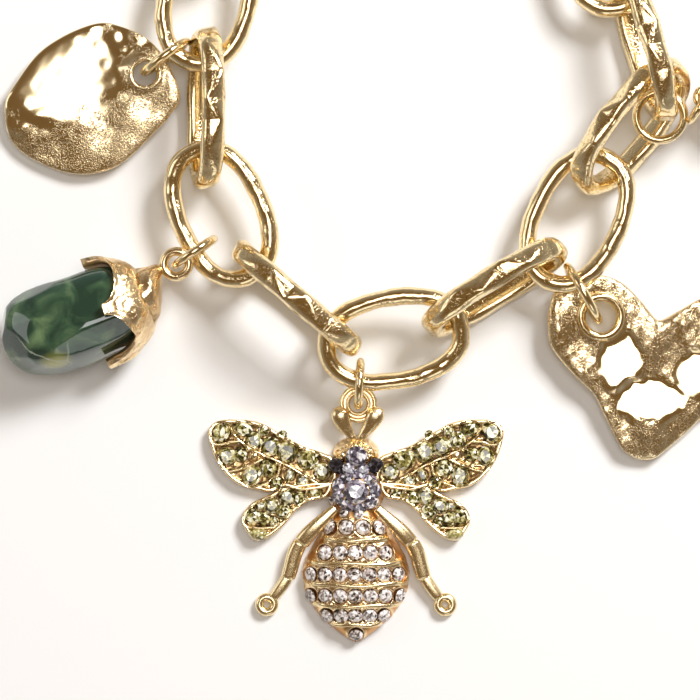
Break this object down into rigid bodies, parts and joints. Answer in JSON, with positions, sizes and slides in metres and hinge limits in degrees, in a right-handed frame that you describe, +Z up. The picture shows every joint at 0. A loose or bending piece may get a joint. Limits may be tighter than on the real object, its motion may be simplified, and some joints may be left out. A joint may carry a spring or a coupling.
{
  "type": "charm bracelet",
  "caption": "Gold-toned chain bracelet of plain and hammered oval links with disc, capped stone, bee, heart and ball charms hanging on jump rings.",
  "frame": {"origin": "middle of the foot of the whole bracelet's bounding box, on the table", "axes": "+Z up from the table, +Y from the bee end of the loop to its closed end, +X to the ball's side"},
  "size_m": [0.0772, 0.108, 0.0094],
  "materials": {
    "polished_gold": "gilt, bright polished with fine pits",
    "hammered_gold": "gilt, hammered facets",
    "beaten_gold": "gilt, beaten and finely pitted",
    "cast_gold": "gilt casting with brown in its hollows",
    "green_stone": "tumbled and polished moss-green stone",
    "crystal_clear": "clear foiled cut crystal",
    "crystal_yellow": "pale yellow foiled cut crystal",
    "crystal_violet": "grey violet foiled cut crystal",
    "jet": "black cut glass"
  },
  "bodies": {
    "root": {"ball_charm": "cast_gold", "ball_ring": "polished_gold", "bee_charm": "cast_gold", "bee_ring": "polished_gold", "clasp": "polished_gold", "clasp_ring_1": "polished_gold", "clasp_ring_2": "polished_gold", "disc_charm": "beaten_gold", "disc_ring": "polished_gold", "green_stone": "green_stone", "hammered_link_1": "hammered_gold", "hammered_link_2": "hammered_gold", "hammered_link_3": "hammered_gold", "hammered_link_4": "hammered_gold", "hammered_link_5": "hammered_gold", "hammered_link_6": "hammered_gold", "hammered_link_7": "hammered_gold", "hammered_link_8": "hammered_gold", "heart_charm": "beaten_gold", "heart_ring": "polished_gold", "link_ring": "polished_gold", "plain_link_1": "polished_gold", "plain_link_2": "polished_gold", "plain_link_3": "polished_gold", "plain_link_4": "polished_gold", "plain_link_5": "polished_gold", "plain_link_6": "polished_gold", "plain_link_7": "polished_gold", "plain_link_8": "polished_gold", "stone_cap": "cast_gold", "stone_ring": "polished_gold"}
  },
  "joints": []
}
